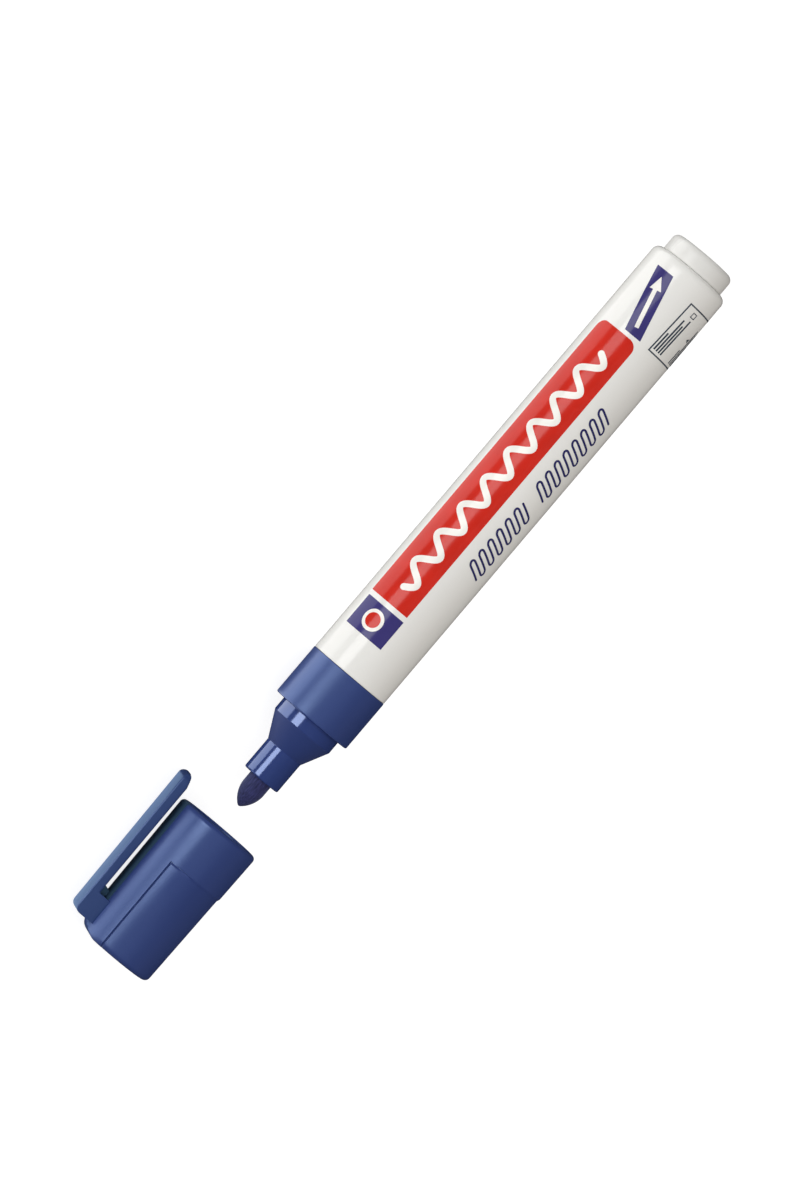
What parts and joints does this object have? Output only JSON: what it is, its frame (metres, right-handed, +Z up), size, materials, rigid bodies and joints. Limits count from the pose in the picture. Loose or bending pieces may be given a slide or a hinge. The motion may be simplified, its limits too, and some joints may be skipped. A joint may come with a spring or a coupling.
{
  "type": "whiteboard marker",
  "caption": "Whiteboard marker with its cap pulled off: straight round barrel, stepped front with a bullet nib, and a cap with a pocket clip that slides on and off.",
  "frame": {"origin": "on the floor, under the middle of the whole object as it lies with its cap off", "axes": "+X along the marker from its rear end to the nib and cap, +Z up; the pocket clip is on the -Y side and leans on the floor"},
  "size_m": [0.1628, 0.0206, 0.0169],
  "materials": {
    "white_plastic": "semi-gloss moulded",
    "blue_plastic": "satin moulded",
    "nib_fibre": "pressed fibre soaked in ink",
    "reservoir_fibre": "fibre soaked in ink",
    "clear_film": "thin clear film",
    "seal_rubber": "soft matt"
  },
  "bodies": {
    "marker": {"barrel": "white_plastic", "end_plug": "white_plastic", "front_section": "blue_plastic", "fibre_nib": "nib_fibre", "ink_reservoir": "reservoir_fibre", "reservoir_film": "clear_film"},
    "cap": {"cap_shell": "blue_plastic", "cap_inner_seal": "seal_rubber"},
    "clip": {"pocket_clip": "blue_plastic"}
  },
  "joints": [
    {"name": "cap_slide", "type": "slide", "parent": "marker", "child": "cap", "axis": [1, 0, 0], "range_m": [-0.0251, 0.02]},
    {"name": "clip_flex", "type": "hinge", "parent": "cap", "child": "clip", "pos_m": [0.0743, -0.00838, 0.00377], "axis": [0, -0.4162, 0.9093], "range_deg": [0, 6], "stiffness_Nm_per_rad": 0.3}
  ]
}
